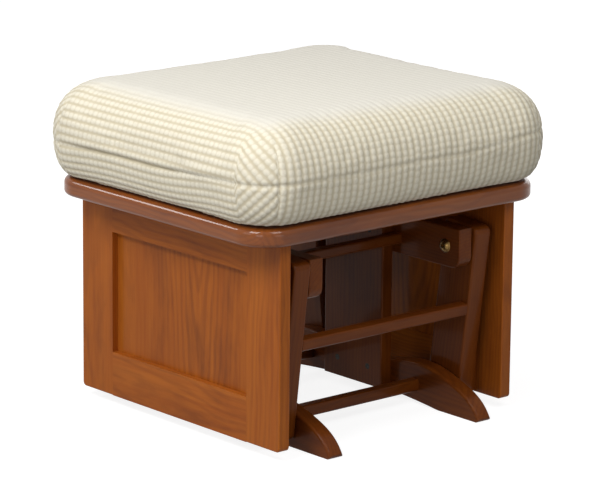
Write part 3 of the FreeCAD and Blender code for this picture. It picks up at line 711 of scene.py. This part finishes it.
class Cloth:
    """For each point of the cushion: where it lies on the cover."""

    def __init__(self, points):
        x, y, z = points.T
        core = np.array([(high.x - low.x) / 2 - CORNER, (high.y - low.y) / 2 - CORNER])
        over_x = np.maximum(np.abs(x) - core[0], 0)
        over_y = np.maximum(np.abs(y) - core[1], 0)
        out = np.hypot(over_x, over_y)
        inside = out < INSIDE
        self.turn = np.arctan2(over_y, np.maximum(over_x, TINY))
        self.turn[inside] = math.pi / 4
        self.walk = walk_down(out, z)
        self.seam_walk = self.seam_line(x, y)
        # below the seam the cover mirrors its upper half
        mirrored = 2 * self.seam_walk - self.walk
        walk = np.maximum(np.where(self.walk > self.seam_walk, mirrored, self.walk), 0)
        self.flat_walk = walk
        base_x = np.minimum(np.abs(x), core[0])
        base_y = np.minimum(np.abs(y), core[1])
        # cloth places for the three ways in which the cover can lie at a corner
        side = np.array([base_x + walk, base_y + out * self.turn])
        front = np.array([base_x + out * (math.pi / 2 - self.turn), base_y + walk])
        slip = out * (self.turn - sum(WEDGE) / 2)
        wedge = np.array([base_x + walk * math.cos(WEDGE_LEAN) - slip * math.sin(WEDGE_LEAN),
                          base_y + walk * math.sin(WEDGE_LEAN) + slip * math.cos(WEDGE_LEAN)])
        loose = np.array([base_x + walk * np.cos(self.turn), base_y + walk * np.sin(self.turn)])
        zone = np.where(self.turn < WEDGE[0], 0, np.where(self.turn > WEDGE[1], 2, 1))
        sewn = np.choose(zone, [side, wedge, front])
        share = smooth(walk, SEWN_FROM, SEWN_BY)
        flat = loose * (1 - share) + sewn * share
        flat[:, inside] = np.array([base_x, base_y])[:, inside]
        self.across = flat[0] * np.sign(x)
        self.along = flat[1] * np.sign(y)

    @staticmethod
    def seam_line(x, y):
        """How far down the seam at half height lies, wandering a little as sewn."""
        level = SEAM_LEVEL + SEAM_CLIMB * smooth(x, 0.06, 0.20)
        level = level - SEAM_SINK * smooth(y, -0.20, 0.10)
        wander = SEAM_WANDER * (np.sin(x * 31 + 1.0) + np.sin(y * 27 - 0.6))
        return np.interp(level + wander, profile[::-1, 1], profile_walk[::-1])


cover = Cloth(rows_of(cushion.data, "co"))
print("cloth across, m:", round(float(np.ptp(cover.across)), 3))

# %% [markdown]
# ## Ribs, seams and slack
#
# Ribs and seams are pressed into the mesh itself, by moving each point along its normal. Each
# rib is a row of tufts, and the rows don't quite match. On top, feet have pressed the pile
# down. The seam round the middle and the darts pull the cover in, and on the left side the
# cover hangs slack over the seam in one long fold.

# %% Ribs and tufts
RIB_PITCH = 0.01057
TUFT_PITCH = 0.00895
RIB_HEIGHT = 0.0013
# each row of tufts is moved along by up to this share of a tuft
STAGGER = 0.3
# what is left of the pile on top, and how far down the side it stands up again
PRESSED = 0.16
UPRIGHT_FROM = 0.036

rib_number = np.floor(cover.across / RIB_PITCH)
# what a large sine leaves after its whole part looks drawn by lot, yet is the same every time
row_shift = STAGGER * np.modf(np.abs(np.sin(rib_number * 12.9898)) * 43.758)[0]
along_rows = cover.along + row_shift * TUFT_PITCH
raised = PRESSED + (1 - PRESSED) * smooth(cover.flat_walk, 0.0, UPRIGHT_FROM)


def hump(distance, pitch):
    """0 between two ribs or tufts and 1 on top of one."""
    return np.abs(np.sin(math.pi * distance / pitch))


rib = hump(cover.across, RIB_PITCH) ** 0.9
tuft = hump(along_rows, TUFT_PITCH) ** 0.8
tufted = rib * (0.55 + 0.45 * tuft) * RIB_HEIGHT * raised
print("ribs across the cover:", int(np.ptp(rib_number)) + 1)

# %% Seams and the slack fold
# widths and depths in metres
SEAM_WIDTH = 0.0022
SEAM_DEPTH = 0.0014
LEFT_SEAM_DEEPER = 0.0016
DART_WIDTH = 0.0018
DART_DEPTH = 0.0016
FOLD_ABOVE_SEAM = 0.0075
FOLD_WIDTH = 0.0048
FOLD_HEIGHT = 0.0022
# the lowest part of the cover rests on the seat and stays plain
PLAIN_HEIGHT = 0.004


def bell(distance, width):
    return np.exp(-(distance / width) ** 2)


def seams(points):
    """How deep the seams pull the cover in at each point, less the fold that stands out."""
    x, y = points.T[:2]
    off_seam = cover.walk - cover.seam_walk
    on_left = smooth(-x, 0.20, 0.235) * smooth(-y, -0.20, -0.14)
    deep = bell(off_seam, SEAM_WIDTH) * (SEAM_DEPTH + LEFT_SEAM_DEEPER * on_left)
    reach = smooth(cover.flat_walk, 0.030, 0.050)
    for edge in WEDGE:
        deep += bell((cover.turn - edge) * CORNER, DART_WIDTH) * DART_DEPTH * reach
    fold = bell(off_seam + FOLD_ABOVE_SEAM, FOLD_WIDTH) * smooth(-x, 0.20, 0.24)
    fold *= smooth(y, -0.19, -0.10) * smooth(-y, -0.19, -0.05)
    return deep - fold * FOLD_HEIGHT


resting = rows_of(cushion.data, "co")
relief = tufted - seams(resting)
relief[resting[:, 2] < low.z + PLAIN_HEIGHT] = 0
dressed = resting + rows_of(cushion.data, "normal") * relief[:, None]
dressed[:, 2] = np.maximum(dressed[:, 2], low.z)
set_points(cushion, dressed)
cushion.data.calc_loop_triangles()
print("cushion triangles:", len(cushion.data.loop_triangles))

# %% [markdown]
# ## Chenille
#
# Chenille yarn is soft and matt, with a short pile that catches light at its edges. The tufts
# are cream and the ground between them is darker, partly painted shade in the grooves; on top
# the colour is paler and cooler, partly painted light. The material reads the same places
# on the flat cloth as the ribs in the mesh, kept on each point as attributes, so that the
# colour always sits on its tuft.

# %% Chenille finish
TUFT_COLOUR = (0.79, 0.74, 0.61)
# the ground between the tufts, darkened as painted shade in the grooves
SHADED_GROUND_COLOUR = (0.60, 0.53, 0.38)
# the top's paler, cooler colour: partly pressed pile, partly painted light from above
PRESSED_AND_TOP_LIT_COLOUR = (0.715, 0.705, 0.68)
# patches a metre in the fibres, the specks between them and the wider uneven patches
FIBRES, SPECKS, PATCHES = 1100, 380, 60
# how far specks, patches and the pressed pile, with its painted top light, change the colour
SPECK_SHARE, PATCH_SHARE, PRESSED_AND_TOP_LIT_SHARE = 0.22, 0.12, 0.55
PILE_DEPTH = 0.0010


def keep_attribute(piece, name, values):
    """Keep one number on each point of the mesh, where a material can read it."""
    made = piece.data.attributes.new(name, "FLOAT", "POINT")
    made.data.foreach_set("value", values.astype(np.float32))


keep_attribute(cushion, "across_ribs", cover.across)
keep_attribute(cushion, "along_ribs", along_rows)
keep_attribute(cushion, "raised_pile", raised)


def chenille():
    """Cream tufts on a darker ground with painted shade between them; on top, where the pile is
    pressed down, paler, cooler and smoother, partly painted light.
    """
    cloth = Finish("chenille", {"Roughness": 0.92, "Sheen Weight": 0.15,
                                "Sheen Roughness": 0.5, "Specular IOR Level": 0.15})
    across, along, pile = (
        cloth.node("ShaderNodeAttribute", {"attribute_name": name}, output="Fac")
        for name in ("across_ribs", "along_ribs", "raised_pile"))
    ridge = abs((across * (math.pi / RIB_PITCH)).sine())
    bead = abs((along * (math.pi / TUFT_PITCH)).sine())
    fibre = cloth.noise(cloth.place(), FIBRES, 3, 0.6)
    speck = cloth.noise(cloth.place(), SPECKS, 2, 0.6)
    patch = cloth.noise(cloth.place(), PATCHES, 3, 0.5)
    crest = (ridge * (bead * 0.5 + 0.5)).ramp(0.1, 0.85)
    # painted shade: the ground shows darker between the tufts, less so on top where the pile is
    # pressed
    share = 1 - (1 - crest) * pile
    colour = cloth.blend(share, SHADED_GROUND_COLOUR, TUFT_COLOUR)
    colour = cloth.blend(speck.ramp(0.35, 0.7) * SPECK_SHARE, colour, SHADED_GROUND_COLOUR)
    colour = cloth.blend(patch.ramp(0.4, 0.7) * PATCH_SHARE, colour, TUFT_COLOUR)
    # painted light: the top turns paler and cooler where the pile is pressed
    colour = cloth.blend((1 - pile) * PRESSED_AND_TOP_LIT_SHARE, colour, PRESSED_AND_TOP_LIT_COLOUR)
    cloth.set({"Base Color": colour})
    cloth.bump(crest * 0.5 + fibre * 0.35 + speck * 0.25, PILE_DEPTH, 0.40)
    return cloth.material


cushion.data.materials.clear()
cushion.data.materials.append(chenille())
for face in cushion.data.polygons:
    face.use_smooth = True
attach(cushion, "seat")
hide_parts("seat_cushion")
